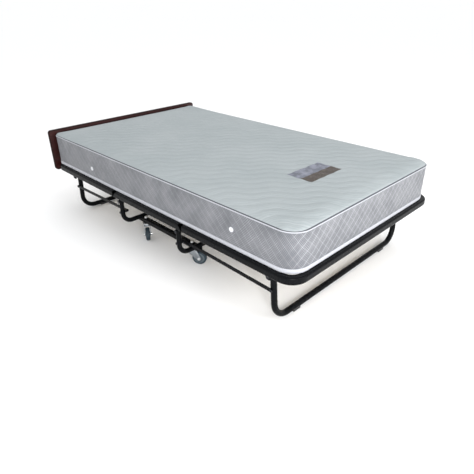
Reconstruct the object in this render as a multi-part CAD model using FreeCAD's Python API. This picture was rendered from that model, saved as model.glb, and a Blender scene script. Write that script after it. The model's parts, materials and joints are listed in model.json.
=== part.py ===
"""Folding guest bed on casters: a fixed centre stand, two decks that fold up, and a mattress.

Units are millimetres. +X runs from the head (board) to the foot, +Y is the left side of
someone lying on the bed, +Z is up. The origin is on the floor under the middle of the whole
bed. The bed is modelled open. Everything of a deck is drawn on the foot side, outward from
its hinge, and mirrored to the head side.
"""
import math
import os

import FreeCAD
import Part

# ---------------------------------------------------------------- driving dimensions
MATTRESS_HALF_LENGTH = 950.0   # from the stand's middle to the foot end
MATTRESS_WIDTH = 1100.0
MATTRESS_THICK = 199.0
MATTRESS_FOOT_CORNER = 85.0
MATTRESS_HEAD_CORNER = 35.0
MATTRESS_BOARD_GAP = 2.0
MATTRESS_EDGE = 14.0
MATTRESS_PANEL = 12.0          # quilted cover panel around the spring core
DECK_HEIGHT = 299.0            # top of the slats and rails above the floor
FRAME_MARGIN = 16.0            # how far the frame stands out from the mattress
HINGE_SPAN = 500.0             # distance between the two deck hinges
HINGE_HEIGHT = 250.0

RAIL = 34.0                    # square rail section
RAIL_CORNER = 8.0
RAIL_WALL = 1.6
HEAD_CORNER = 65.0             # outer corner radius of the frame at the head
FOOT_CORNER = 80.0
RAIL_START = 52.0              # deck rails begin this far outward of the hinge
HINGE_SIDE_GAP = 1.0           # centre rail to the deck's hinge plate
SWING_GAP = 0.6                # centre rail's sloping ends to the deck rail's swing

CROSS_TUBE = 20.0
INNER_BAR = 25.0
TUBE_WALL = 1.5
CROSS_FROM_END = (310.0, 520.0)

SLAT_COUNT = 24
SLAT_WIDTH = 35.0
SLAT_THICK = 8.0
CLIP_LENGTH = 34.0
CLIP_LAP = 18.0
CLIP_WALL = 2.0
CLIP_FLOOR = 4.0

HOOP_TUBE = 25.0
HOOP_BEND = 52.0
HOOP_FLOOR_GAP = 108.0         # underside of the hoops' cross tube
BASE_BAR = 30.0
BASE_BAR_Y = 430.0
BASE_BAR_SINK = 11.0           # base bars lie this far below the hoops' cross tubes
BASE_BAR_END = 14.0            # base bars run this far past the hoops' middle
CENTRE_TUBE_INSET = 62.0       # centre cross tubes, inward of the hinges
CENTRE_SLAT_OVERHANG = 12.0

LEG_TUBE = 28.0
LEG_BEND = 80.0
LEG_PIVOT_OUT = 560.0          # leg pivot, outward of the deck hinge
LEG_PIVOT_DROP = 10.0          # leg pivot, below the deck hinge
LEG_LEAN = 4.0                 # degrees outward when open
LEG_LEAN_FOLDED = 28.0         # degrees outward when the deck stands upright
LEG_TOP = 16.0                 # leg tube above its pivot
FOOT_PAD = 3.0                 # plastic under the leg's floor tube
FOOT_PAD_LENGTH = 45.0
FOOT_PAD_WIDTH = 26.0
FOOT_PAD_FROM_BEND = 35.0

LINK_ON_LEG = 70.0             # link pivot on the leg, measured along the leg from its pivot
LINK_WIDTH = 16.0
LINK_THICK = 5.0
PLATE = 4.0
EYE_R = 15.0                   # round eye of a hinge or leg plate
HINGE_PLATE_REACH = 90.0       # hinge plate's length along the rail
LEG_PLATE_HALF = 60.0          # half the length of a leg plate's wide top edge
PLATE_INSET = 4.0              # how far a leg plate keeps from the rail's top and bottom

BOLT_R = 5.0
BOLT_HEAD_R = 9.0
HEAD_HEIGHT = 6.0
PIN_R = 4.0
PIN_HEAD_R = 7.0
PIN_HEAD = 4.0
PIN_NUT = 5.0                  # how far a link pin's nut reaches beyond the hoop's arm
PIN_COLLAR_R = 8.0
RIVET_HEAD = 3.0
FIT = 0.05                     # radial clearance of a fixed bolt
RUN = 0.10                     # radial clearance of a pivot
SIDE_GAP = 0.3                 # axial clearance between pieces that turn
ARM_GAP = 0.5                  # hinge plate to the hoop's arm
LINK_GAP = 1.5                 # hinge bolt's head to the link
LEG_GAP = 1.0                  # link to the leg

BOARD_THICK = 20.0
BOARD_WIDTH = 1150.0
BOARD_BOTTOM = 256.0
BOARD_TOP = 507.0
BOARD_CORNER = 18.0
BOARD_BAND = 3.0
BOARD_SCREW_Y = (-320.0, 0.0, 320.0)
BOARD_SCREW_R = 3.0
BOARD_SCREW_HEAD = 3.0
BOARD_SCREW_HEAD_R = 8.0
BOARD_SCREW_BITE = 4.0         # how far a screw reaches past the end tube's wall

LOCK_WIDTH = 18.0
LOCK_STUD_R = 4.0
LOCK_STUD_HEAD_R = 7.0
LOCK_STUD_PROUD = 9.0          # how far the stud and the rivet stand out from the rail
LOCK_RAIL_GAP = 1.0            # lock bar to the rail
LOCK_SLOT_PLAY = 1.5           # notch to the foot stud
LOCK_TIP = 4.0                 # metal beyond the notch

WHEEL_R = 37.5
WHEEL_WIDTH = 24.0
WHEEL_CORE_R = 28.0
AXLE_R = 4.0
AXLE_HEAD = 4.0
HUB_R = 10.0
TYRE_BEVEL = 5.0
FORK_TRAIL = 34.0
FORK_PLATE = 3.0
FORK_GAP = 15.0                # half the space between the fork's cheeks
FORK_TOP_GAP = 5.0             # above the tyre
HEAD_RACE_R = 21.0
STEM_R = 6.0
STEM_FLANGE = 3.5
STEM_NUT_R = 10.0
STEM_LOW_NUT = 5.0
STEM_TOP_NUT = 7.0
STEM_END = 2.0                 # stem showing above its top nut
CASTER_X = 205.0
CASTER_ANGLE = {"head_right": -33.0, "foot_right": 35.0, "head_left": -18.0, "foot_left": 14.0}

# ---------------------------------------------------------------- worked out from the above
V = FreeCAD.Vector
HALF_SPAN = HINGE_SPAN / 2
FRAME_HALF = MATTRESS_HALF_LENGTH + FRAME_MARGIN
RAIL_OUT_Y = MATTRESS_WIDTH / 2 + FRAME_MARGIN
RAIL_IN_Y = RAIL_OUT_Y - RAIL
RAIL_Y = RAIL_OUT_Y - RAIL / 2
RAIL_BOTTOM = DECK_HEIGHT - RAIL
RAIL_Z = DECK_HEIGHT - RAIL / 2
# The board and its screw heads make the head side longer, so the stand's middle moves over.
MID_X = (BOARD_THICK + BOARD_SCREW_HEAD) / 2
END_OUT = FRAME_HALF - HALF_SPAN          # outer face of an end tube, outward of the hinge
SLAT_BOTTOM = DECK_HEIGHT - SLAT_THICK
CLIP_BOTTOM = SLAT_BOTTOM - CLIP_FLOOR
# The row of slats lies between the bends of the end tubes.
SLAT_ROW = 2 * (RAIL_OUT_Y - max(HEAD_CORNER, FOOT_CORNER) - SIDE_GAP)
SLAT_PITCH = (SLAT_ROW - SLAT_WIDTH - 2 * CLIP_WALL) / (SLAT_COUNT - 1)

HOOP_R = HOOP_TUBE / 2
HOOP_ARM_Y = RAIL_IN_Y + ARM_GAP + HOOP_R
HOOP_Z = HOOP_FLOOR_GAP + HOOP_R
BASE_BAR_Z = HOOP_Z - BASE_BAR_SINK
LINK_HIGH_Y = RAIL_IN_Y - PLATE - HEAD_HEIGHT - LINK_GAP
LINK_LOW_Y = LINK_HIGH_Y - LINK_THICK
LEG_R = LEG_TUBE / 2
LEG_Y = LINK_LOW_Y - LEG_GAP - LEG_R
LEG_PIVOT_Z = HINGE_HEIGHT - LEG_PIVOT_DROP
LEG_LENGTH = (LEG_PIVOT_Z - FOOT_PAD - LEG_R) / math.cos(math.radians(LEG_LEAN))


def link_drop():
    """Depth of the link's fixed pivot below the hinge, for a link that fits open and folded."""
    open_lean = math.radians(LEG_LEAN)
    fold_lean = math.radians(LEG_LEAN_FOLDED)
    out_open = LEG_PIVOT_OUT + LINK_ON_LEG * math.sin(open_lean)
    down_open = LEG_PIVOT_DROP + LINK_ON_LEG * math.cos(open_lean)
    out_fold = LEG_PIVOT_DROP + LINK_ON_LEG * math.sin(fold_lean)
    up_fold = LEG_PIVOT_OUT - LINK_ON_LEG * math.cos(fold_lean)
    squares = out_open**2 + down_open**2 - out_fold**2 - up_fold**2
    return squares / (2 * (down_open + up_fold))


LINK_FIXED_Z = HINGE_HEIGHT - link_drop()
FORK_TOP = 2 * WHEEL_R + FORK_TOP_GAP + FORK_PLATE
FLANGE_BOTTOM = BASE_BAR_Z - BASE_BAR / 2 - STEM_FLANGE


# ---------------------------------------------------------------- small shape helpers
def box(x0, x1, y0, y1, z0, z1):
    return Part.makeBox(x1 - x0, y1 - y0, z1 - z0, V(x0, y0, z0))


def rod(start, end, radius):
    """Solid cylinder between two points."""
    run = end - start
    return Part.makeCylinder(radius, run.Length, start, run)


def cross_rod(x, z, y0, y1, radius):
    """Cylinder along Y."""
    return rod(V(x, min(y0, y1), z), V(x, max(y0, y1), z), radius)


def fused(pieces):
    whole = pieces[0].multiFuse(pieces[1:]) if len(pieces) > 1 else pieces[0]
    return whole.removeSplitter()


def ring_face(centre, direction, radius, wall):
    """Cross-section of a round tube."""
    outer = Part.Face(Part.Wire(Part.makeCircle(radius, centre, direction)))
    inner = Part.Face(Part.Wire(Part.makeCircle(radius - wall, centre, direction)))
    return outer.cut(inner)


def rounded_rect(width, height, corner):
    """Closed rounded rectangle in the XY plane about the origin."""
    half_w = width / 2
    half_h = height / 2
    edges = []
    corners = ((1, 1, 0), (-1, 1, 90), (-1, -1, 180), (1, -1, 270))
    arcs = []
    for side_x, side_y, first in corners:
        centre = V(side_x * (half_w - corner), side_y * (half_h - corner), 0)
        arcs.append(Part.makeCircle(corner, centre, V(0, 0, 1), first, first + 90))
    for index, arc in enumerate(arcs):
        following = arcs[(index + 1) % 4]
        edges.append(arc)
        start = arc.valueAt(arc.LastParameter)
        end = following.valueAt(following.FirstParameter)
        if (end - start).Length > 1e-6:
            edges.append(Part.makeLine(start, end))
    return Part.Wire(edges)


def square_face(width, height, corner, wall):
    """Cross-section of a rectangular tube, in the XY plane about the origin."""
    outer = Part.Face(rounded_rect(width, height, corner))
    inner = Part.Face(rounded_rect(width - 2 * wall, height - 2 * wall, corner - wall))
    return outer.cut(inner)


def square_tube_x(x0, x1, y, z, width, height):
    """Rectangular tube along X."""
    face = square_face(height, width, RAIL_CORNER, RAIL_WALL)
    face.rotate(V(0, 0, 0), V(0, 1, 0), 90)
    face.translate(V(x0, y, z))
    return face.extrude(V(x1 - x0, 0, 0))


def bent_tube(points, bend, radius, wall):
    """Round tube through the points, with an arc of the centreline radius bend at each corner."""
    pieces = []
    start = points[0]
    for index in range(1, len(points)):
        corner = points[index]
        heading = (corner - points[index - 1]).normalize()
        if index == len(points) - 1:
            run = corner - start
            pieces.append(ring_face(start, heading, radius, wall).extrude(run))
            break
        leaving = (points[index + 1] - corner).normalize()
        half_turn = heading.getAngle(leaving) / 2
        cut_back = bend * math.tan(half_turn)
        arc_start = corner - heading * cut_back
        pieces.append(ring_face(start, heading, radius, wall).extrude(arc_start - start))
        axis = heading.cross(leaving).normalize()
        centre = arc_start + axis.cross(heading) * bend
        turn = math.degrees(2 * half_turn)
        pieces.append(ring_face(arc_start, heading, radius, wall).revolve(centre, axis, turn))
        start = corner + leaving * cut_back
    return fused(pieces)


def flat_plate(points, thick):
    """Plate with this outline, thick along Y."""
    return Part.Face(Part.makePolygon(points + points[:1])).extrude(V(0, thick, 0))


def both_sides(shape):
    """The shape and its mirror image across the bed's long middle plane."""
    return [shape, shape.mirror(V(0, 0, 0), V(0, 1, 0))]


def bolt(x, z, y_head, y_tip, radius, head_radius, head_height):
    """Bolt along Y, one solid with a round head at y_head and a nut of the same size at y_tip."""
    side = 1 if y_tip > y_head else -1
    shank = cross_rod(x, z, y_head, y_tip, radius)
    head = cross_rod(x, z, y_head, y_head + side * head_height, head_radius)
    nut = cross_rod(x, z, y_tip - side * head_height, y_tip, head_radius)
    return fused([shank, head, nut])


def outward(distance):
    """X of a place on the foot side, this far outward of the foot hinge."""
    return MID_X + HALF_SPAN + distance


def to_side(shape, end):
    """Foot-side geometry as drawn, or mirrored to the head."""
    if end == "foot":
        return shape
    return shape.mirror(V(MID_X, 0, 0), V(1, 0, 0))


def save(name, shapes):
    solids = shapes if isinstance(shapes, list) else [shapes]
    made = solids[0] if len(solids) == 1 else Part.makeCompound(solids)
    if not made.isValid():
        raise ValueError(name + " is not a valid shape")
    made.exportStep(os.path.join("parts", name + ".step"))


# ---------------------------------------------------------------- the fixed centre stand
def hoop():
    """U-shaped stand under one hinge line, open at the top, drilled for its four bolts."""
    x = outward(0)
    points = [
        V(x, -HOOP_ARM_Y, RAIL_BOTTOM),
        V(x, -HOOP_ARM_Y, HOOP_Z),
        V(x, HOOP_ARM_Y, HOOP_Z),
        V(x, HOOP_ARM_Y, RAIL_BOTTOM),
    ]
    tube = bent_tube(points, HOOP_BEND, HOOP_R, TUBE_WALL)
    reach = HOOP_ARM_Y + HOOP_TUBE
    tube = tube.cut(cross_rod(x, HINGE_HEIGHT, -reach, reach, BOLT_R + FIT))
    return tube.cut(cross_rod(x, LINK_FIXED_Z, -reach, reach, PIN_R + FIT))


def base_bar():
    """Square bar let into the undersides of both hoops' cross tubes and drilled for two casters."""
    half = HALF_SPAN + BASE_BAR_END
    bar = square_tube_x(MID_X - half, MID_X + half, BASE_BAR_Y, BASE_BAR_Z, BASE_BAR, BASE_BAR)
    for side in (-1, 1):
        x = MID_X + side * HALF_SPAN
        bar = bar.cut(cross_rod(x, HOOP_Z, BASE_BAR_Y - BASE_BAR, BASE_BAR_Y + BASE_BAR, HOOP_R))
        stem_x = MID_X + side * CASTER_X
        low = V(stem_x, BASE_BAR_Y, BASE_BAR_Z - BASE_BAR)
        bar = bar.cut(rod(low, V(stem_x, BASE_BAR_Y, BASE_BAR_Z + BASE_BAR), STEM_R + FIT))
    return bar


def centre_rail():
    """Side rail of the centre part; its ends slope to stay inside the deck rail's swing."""
    width = RAIL - HINGE_SIDE_GAP
    y = RAIL_OUT_Y - width / 2
    low = RAIL_BOTTOM - HINGE_HEIGHT
    swing = math.hypot(RAIL_START, low) - SWING_GAP
    top_reach = math.sqrt(swing**2 - (DECK_HEIGHT - HINGE_HEIGHT) ** 2)
    low_reach = math.sqrt(swing**2 - low**2)
    rail = square_tube_x(MID_X - 2 * HALF_SPAN, MID_X + 2 * HALF_SPAN, y, RAIL_Z, width, RAIL)
    outline = [
        V(outward(low_reach), 0, RAIL_BOTTOM - 1),
        V(outward(low_reach), 0, RAIL_BOTTOM),
        V(outward(top_reach), 0, DECK_HEIGHT),
        V(outward(top_reach), 0, DECK_HEIGHT + 1),
    ]
    far = 2 * MID_X
    mirrored = [V(far - point.x, 0, point.z) for point in reversed(outline)]
    keep = flat_plate(outline + mirrored, RAIL)
    keep.translate(V(0, RAIL_IN_Y, 0))
    return rail.common(keep)


def centre_cross_tubes():
    z = SLAT_BOTTOM - INNER_BAR / 2
    reach = RAIL_IN_Y + HINGE_SIDE_GAP
    tubes = []
    for side in (-1, 1):
        x = MID_X + side * (HALF_SPAN - CENTRE_TUBE_INSET)
        tubes.append(ring_face(V(x, -reach, z), V(0, 1, 0), INNER_BAR / 2, TUBE_WALL))
    return [tube.extrude(V(0, 2 * reach, 0)) for tube in tubes]


def slat_row(x0, x1):
    slats = []
    for index in range(SLAT_COUNT):
        y = (index - (SLAT_COUNT - 1) / 2) * SLAT_PITCH
        slats.append(box(x0, x1, y - SLAT_WIDTH / 2, y + SLAT_WIDTH / 2, SLAT_BOTTOM, DECK_HEIGHT))
    return slats


def hinge_bolt(side):
    """Deck hinge bolt: head inside the hinge plate, nut outside the hoop's arm."""
    head = side * (RAIL_IN_Y - PLATE - HEAD_HEIGHT)
    tip = side * (HOOP_ARM_Y + HOOP_R + HEAD_HEIGHT)
    height = HEAD_HEIGHT - SIDE_GAP
    return bolt(outward(0), HINGE_HEIGHT, head, tip, BOLT_R, BOLT_HEAD_R, height)


def link_pin(side):
    """Fixed pin of a link: head inside the link, a collar between link and arm, nut outside."""
    x = outward(0)
    head = side * (LINK_LOW_Y - SIDE_GAP - PIN_HEAD)
    tip = side * (HOOP_ARM_Y + HOOP_R + PIN_NUT)
    pin = bolt(x, LINK_FIXED_Z, head, tip, PIN_R, PIN_HEAD_R, PIN_HEAD)
    inner = side * (LINK_HIGH_Y + SIDE_GAP)
    outer = side * (HOOP_ARM_Y - HOOP_R)
    return fused([pin, cross_rod(x, LINK_FIXED_Z, inner, outer, PIN_COLLAR_R)])


# ---------------------------------------------------------------- a folding deck
def deck_rail(corner):
    """Straight side rail, from beside the hinge to where the end tube's bend begins."""
    x0 = outward(RAIL_START)
    x1 = outward(END_OUT - corner)
    return square_tube_x(x0, x1, RAIL_Y, RAIL_Z, RAIL, RAIL)


def end_tube(corner):
    """Cross member at the outer end, with a quarter bend to each side rail."""
    x = outward(END_OUT - RAIL / 2)
    reach = RAIL_OUT_Y - corner
    section = square_face(RAIL, RAIL, RAIL_CORNER, RAIL_WALL)
    section.rotate(V(0, 0, 0), V(1, 0, 0), 90)
    section.translate(V(x, -reach, RAIL_Z))
    pieces = [section.extrude(V(0, 2 * reach, 0))]
    inner_x = outward(END_OUT - corner)
    pieces.append(section.revolve(V(inner_x, -reach, 0), V(0, 0, 1), -90))
    other = section.copy()
    other.translate(V(0, 2 * reach, 0))
    pieces.append(other.revolve(V(inner_x, reach, 0), V(0, 0, 1), 90))
    return fused(pieces)


def deck_cross_tubes():
    """The thick bar at the hinge end and the two thin tubes under the slats."""
    tubes = []
    places = [(RAIL_START + INNER_BAR / 2, INNER_BAR / 2, CLIP_BOTTOM, RAIL_IN_Y - PLATE)]
    for from_end in CROSS_FROM_END:
        places.append((END_OUT - from_end, CROSS_TUBE / 2, SLAT_BOTTOM, RAIL_IN_Y))
    for out, radius, top, reach in places:
        start = V(outward(out), -reach, top - radius)
        tubes.append(ring_face(start, V(0, 1, 0), radius, TUBE_WALL).extrude(V(0, 2 * reach, 0)))
    return tubes


def slat_ends():
    """Where a deck's slats start and stop, as X."""
    start = outward(RAIL_START + CLIP_LENGTH - CLIP_LAP)
    stop = outward(END_OUT - RAIL - CLIP_LENGTH + CLIP_LAP)
    return start, stop


def slat_clips():
    """Plastic shoes that hold both ends of each slat."""
    start, stop = slat_ends()
    half = SLAT_WIDTH / 2 + CLIP_WALL
    inner = outward(RAIL_START)
    outer = outward(END_OUT - RAIL)
    clips = []
    for slat in slat_row(start, stop):
        y = slat.BoundBox.Center.y
        for x0, x1 in ((inner, inner + CLIP_LENGTH), (outer - CLIP_LENGTH, outer)):
            shoe = box(x0, x1, y - half, y + half, CLIP_BOTTOM, DECK_HEIGHT)
            clips.append(shoe.cut(slat))
    return clips


def hinge_plate():
    """Plate inside the rail that carries the deck on its hinge bolt, waisted beside the eye."""
    low = RAIL_BOTTOM - HINGE_HEIGHT
    top = DECK_HEIGHT - HINGE_HEIGHT - 2
    far = RAIL_START + HINGE_PLATE_REACH
    outline = [
        (-2.0, EYE_R - 3.5),
        (RAIL_START + 1, EYE_R - 3.5),
        (RAIL_START + 5, top),
        (far, top),
        (far, low),
        (EYE_R, 5 - EYE_R),
        (-2.0, 1 - EYE_R),
    ]
    face_y = RAIL_IN_Y - PLATE
    x = outward(0)
    points = [V(x + out, face_y, HINGE_HEIGHT + up) for out, up in outline]
    eye = cross_rod(x, HINGE_HEIGHT, face_y, RAIL_IN_Y, EYE_R - 1)
    hole = cross_rod(x, HINGE_HEIGHT, face_y - 1, RAIL_IN_Y + 1, BOLT_R + RUN)
    return fused([flat_plate(points, PLATE), eye]).cut(hole)


def leg_plate():
    """Tapered plate under the rail that carries a leg's pivot bolt."""
    outline = [
        (-LEG_PLATE_HALF, DECK_HEIGHT - PLATE_INSET),
        (LEG_PLATE_HALF, DECK_HEIGHT - PLATE_INSET),
        (LEG_PLATE_HALF, RAIL_BOTTOM + PLATE_INSET),
        (EYE_R, LEG_PIVOT_Z - PLATE_INSET),
        (-EYE_R, LEG_PIVOT_Z - PLATE_INSET),
        (-LEG_PLATE_HALF, RAIL_BOTTOM + PLATE_INSET),
    ]
    face_y = RAIL_IN_Y - PLATE
    x = outward(LEG_PIVOT_OUT)
    points = [V(x + out, face_y, z) for out, z in outline]
    eye = cross_rod(x, LEG_PIVOT_Z, face_y, RAIL_IN_Y, EYE_R)
    hole = cross_rod(x, LEG_PIVOT_Z, face_y - 1, RAIL_IN_Y + 1, BOLT_R + FIT)
    return fused([flat_plate(points, PLATE), eye]).cut(hole)


def leg_bolt(side):
    """Leg pivot bolt: head outside the plate, a collar up to the leg, nut inside the leg."""
    x = outward(LEG_PIVOT_OUT)
    head = side * (RAIL_IN_Y + HEAD_HEIGHT)
    tip = side * (LEG_Y - LEG_R - SIDE_GAP - HEAD_HEIGHT)
    pivot = bolt(x, LEG_PIVOT_Z, head, tip, BOLT_R, BOLT_HEAD_R, HEAD_HEIGHT)
    inner = side * (LEG_Y + LEG_R + SIDE_GAP)
    outer = side * (RAIL_IN_Y - PLATE)
    return fused([pivot, cross_rod(x, LEG_PIVOT_Z, inner, outer, BOLT_HEAD_R)])


def mattress_slab(inset, bottom, top, end):
    """The whole mattress with the corners of one end, shrunk by inset all round."""
    corner = MATTRESS_FOOT_CORNER if end == "foot" else MATTRESS_HEAD_CORNER
    reach = FRAME_HALF - MATTRESS_BOARD_GAP if end == "head" else MATTRESS_HALF_LENGTH
    outline = rounded_rect(2 * (reach - inset), MATTRESS_WIDTH - 2 * inset, corner - inset)
    slab = Part.Face(outline).extrude(V(0, 0, top - bottom))
    slab.translate(V(MID_X, 0, bottom))
    return slab


def mattress_block(x0, x1, bottom, end):
    """A stretch of the mattress between two planes, hollow where the light spring core is."""
    top = DECK_HEIGHT + MATTRESS_THICK
    slab = mattress_slab(0.0, bottom, top, end)
    rims = []
    for edge in slab.Edges:
        low, high = edge.BoundBox.ZMin, edge.BoundBox.ZMax
        if high - low < 1:
            rims.append(edge)
    slab = slab.makeFillet(MATTRESS_EDGE, rims)
    block = slab.common(box(x0, x1, -MATTRESS_WIDTH, MATTRESS_WIDTH, 0, 2 * top))
    panel = MATTRESS_PANEL
    core = mattress_slab(panel, bottom + panel, top - panel, end)
    spring_room = box(x0 + panel, x1 - panel, -MATTRESS_WIDTH, MATTRESS_WIDTH, 0, 2 * top)
    return block.cut(core.common(spring_room))


# ---------------------------------------------------------------- legs and links
def along_leg(distance):
    """Point on the leg's centreline, this far from its pivot, as (x, z)."""
    lean = math.radians(LEG_LEAN)
    x = outward(LEG_PIVOT_OUT) + distance * math.sin(lean)
    return x, LEG_PIVOT_Z - distance * math.cos(lean)


def leg():
    """U-shaped leg; its floor tube runs across the bed."""
    top_x, top_z = along_leg(-LEG_TOP)
    low_x, low_z = along_leg(LEG_LENGTH)
    points = [
        V(top_x, -LEG_Y, top_z),
        V(low_x, -LEG_Y, low_z),
        V(low_x, LEG_Y, low_z),
        V(top_x, LEG_Y, top_z),
    ]
    tube = bent_tube(points, LEG_BEND, LEG_R, TUBE_WALL)
    reach = LEG_Y + LEG_TUBE
    return tube.cut(cross_rod(outward(LEG_PIVOT_OUT), LEG_PIVOT_Z, -reach, reach, BOLT_R + RUN))


def foot_pad():
    """Plastic saddle under the leg's floor tube, flat below."""
    x, z = along_leg(LEG_LENGTH)
    end = LEG_Y - LEG_BEND - FOOT_PAD_FROM_BEND
    start = end - FOOT_PAD_LENGTH
    block = box(x - FOOT_PAD_WIDTH / 2, x + FOOT_PAD_WIDTH / 2, start, end, 0, z)
    return block.cut(cross_rod(x, z, start - 1, end + 1, LEG_R))


def link():
    """Flat bar from the pin on the hoop to beside the leg."""
    x0, z0 = outward(0), LINK_FIXED_Z
    x1, z1 = along_leg(LINK_ON_LEG)
    run = V(x1 - x0, 0, z1 - z0)
    across = V(-run.z, 0, run.x).normalize() * (LINK_WIDTH / 2)
    start = V(x0, LINK_LOW_Y, z0)
    end = V(x1, LINK_LOW_Y, z1)
    corners = [start + across, end + across, end - across, start - across]
    bar = flat_plate(corners, LINK_THICK)
    ends = [
        cross_rod(x, z, LINK_LOW_Y, LINK_HIGH_Y, LINK_WIDTH / 2)
        for x, z in ((x0, z0), (x1, z1))
    ]
    bar = fused([bar] + ends)
    bar = bar.cut(cross_rod(x0, z0, LINK_LOW_Y - 1, LINK_HIGH_Y + 1, PIN_R + RUN))
    return bar.cut(cross_rod(x1, z1, LINK_LOW_Y - 1, LINK_HIGH_Y + 1, PIN_R + FIT))


def link_rivet():
    """Rivet at the leg end of a link."""
    x, z = along_leg(LINK_ON_LEG)
    shank = cross_rod(x, z, LINK_LOW_Y - SIDE_GAP, LINK_HIGH_Y, PIN_R)
    return fused([shank, cross_rod(x, z, LINK_HIGH_Y, LINK_HIGH_Y + RIVET_HEAD, PIN_HEAD_R)])


# ---------------------------------------------------------------- board and lock bar
def board_slab(inset):
    """Upright board outside the end tube, its outline drawn in by inset all round."""
    width = BOARD_WIDTH - 2 * inset
    height = BOARD_TOP - BOARD_BOTTOM - 2 * inset
    face = Part.Face(rounded_rect(width, height, BOARD_CORNER - inset))
    face.rotate(V(0, 0, 0), V(0, 0, 1), 90)
    face.rotate(V(0, 0, 0), V(0, 1, 0), 90)
    face.translate(V(outward(END_OUT), 0, (BOARD_TOP + BOARD_BOTTOM) / 2))
    return face.extrude(V(BOARD_THICK, 0, 0))


def board_screw(y, hole):
    """Screw from the board's outer face through to the end tube, or the hole for it."""
    outer = outward(END_OUT + BOARD_THICK)
    radius = BOARD_SCREW_R + FIT if hole else BOARD_SCREW_R
    inner = V(outward(END_OUT - RAIL_WALL - BOARD_SCREW_BITE), y, RAIL_Z)
    shank = rod(inner, V(outer, y, RAIL_Z), radius)
    if hole:
        return shank
    head_end = V(outer + BOARD_SCREW_HEAD, y, RAIL_Z)
    return fused([shank, rod(V(outer, y, RAIL_Z), head_end, BOARD_SCREW_HEAD_R)])


def lock_reach():
    """Distance from the lock bar's rivet to the stud on the other deck, when both stand upright."""
    return HINGE_SPAN - 2 * (RAIL_Z - HINGE_HEIGHT)


def lock_bar():
    """Flat bar outside the left head rail, with a notch near its free end for the foot stud."""
    pivot_x = outward(LEG_PIVOT_OUT)
    free_x = pivot_x - lock_reach()
    y0 = RAIL_OUT_Y + LOCK_RAIL_GAP
    y1 = y0 + PLATE
    half = LOCK_WIDTH / 2
    blade = box(free_x - half - LOCK_TIP, pivot_x, y0, y1, RAIL_Z - half, RAIL_Z + half)
    blade = fused([blade, cross_rod(pivot_x, RAIL_Z, y0, y1, half)])
    blade = blade.cut(cross_rod(pivot_x, RAIL_Z, y0 - 1, y1 + 1, LOCK_STUD_R + RUN))
    slot = LOCK_STUD_R + LOCK_SLOT_PLAY
    notch = box(free_x - slot, free_x + slot, y0 - 1, y1 + 1, RAIL_Z, RAIL_Z + LOCK_WIDTH)
    return blade.cut(notch).cut(cross_rod(free_x, RAIL_Z, y0 - 1, y1 + 1, slot))


def rail_stud():
    """Headed stud welded to the left rail: the lock bar's rivet or catch."""
    x = outward(LEG_PIVOT_OUT)
    tip = RAIL_OUT_Y + LOCK_STUD_PROUD
    shank = cross_rod(x, RAIL_Z, RAIL_OUT_Y, tip, LOCK_STUD_R)
    head_start = RAIL_OUT_Y + LOCK_RAIL_GAP + PLATE + SIDE_GAP
    return fused([shank, cross_rod(x, RAIL_Z, head_start, tip, LOCK_STUD_HEAD_R)])


# ---------------------------------------------------------------- casters, swivel axis at the origin
def caster_stem():
    """Threaded stem with the flange above the race and the nuts below and above."""
    bar_top = BASE_BAR_Z + BASE_BAR / 2
    nut_top = FORK_TOP - FORK_PLATE - SIDE_GAP
    nut_low = nut_top - STEM_LOW_NUT
    stem = rod(V(0, 0, nut_low), V(0, 0, bar_top + STEM_TOP_NUT + STEM_END), STEM_R)
    flange = rod(V(0, 0, FLANGE_BOTTOM), V(0, 0, FLANGE_BOTTOM + STEM_FLANGE), HEAD_RACE_R + 1)
    low_nut = rod(V(0, 0, nut_low), V(0, 0, nut_top), STEM_NUT_R)
    top_nut = rod(V(0, 0, bar_top), V(0, 0, bar_top + STEM_TOP_NUT), STEM_NUT_R)
    return fused([stem, flange, low_nut, top_nut])


def caster_fork():
    """Race housing, crown and two cheeks reaching down to the axle."""
    race = rod(V(0, 0, FORK_TOP), V(0, 0, FLANGE_BOTTOM - SIDE_GAP), HEAD_RACE_R)
    crown_low = FORK_TOP - FORK_PLATE
    half = FORK_GAP + FORK_PLATE
    crown = box(-HEAD_RACE_R, HEAD_RACE_R + 3, -half, half, crown_low, FORK_TOP)
    eye = 11.0
    outline = [
        V(-HEAD_RACE_R, FORK_GAP, FORK_TOP),
        V(HEAD_RACE_R + 3, FORK_GAP, FORK_TOP),
        V(FORK_TRAIL + eye, FORK_GAP, WHEEL_R + 2),
        V(FORK_TRAIL, FORK_GAP, WHEEL_R - eye),
        V(FORK_TRAIL - eye + 1, FORK_GAP, WHEEL_R - 5),
        V(-HEAD_RACE_R, FORK_GAP, FORK_TOP - 12),
    ]
    lobe = cross_rod(FORK_TRAIL, WHEEL_R, FORK_GAP, half, eye)
    cheek = fused([flat_plate(outline, FORK_PLATE), lobe])
    fork = fused([race, crown] + both_sides(cheek))
    fork = fork.cut(rod(V(0, 0, crown_low - 1), V(0, 0, FLANGE_BOTTOM + 1), STEM_R + RUN))
    return fork.cut(cross_rod(FORK_TRAIL, WHEEL_R, -half - 1, half + 1, AXLE_R + FIT))


def caster_axle():
    """Riveted axle with a head outside each cheek."""
    half = FORK_GAP + FORK_PLATE + AXLE_HEAD
    return bolt(FORK_TRAIL, WHEEL_R, -half, half, AXLE_R, PIN_HEAD_R, AXLE_HEAD)


def turned(profile):
    """Solid of revolution about the wheel's axle; profile holds (radius, offset along the axle)."""
    points = [V(FORK_TRAIL + radius, offset, WHEEL_R) for radius, offset in profile]
    face = Part.Face(Part.makePolygon(points + points[:1]))
    return face.revolve(V(FORK_TRAIL, 0, WHEEL_R), V(0, 1, 0), 360)


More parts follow.
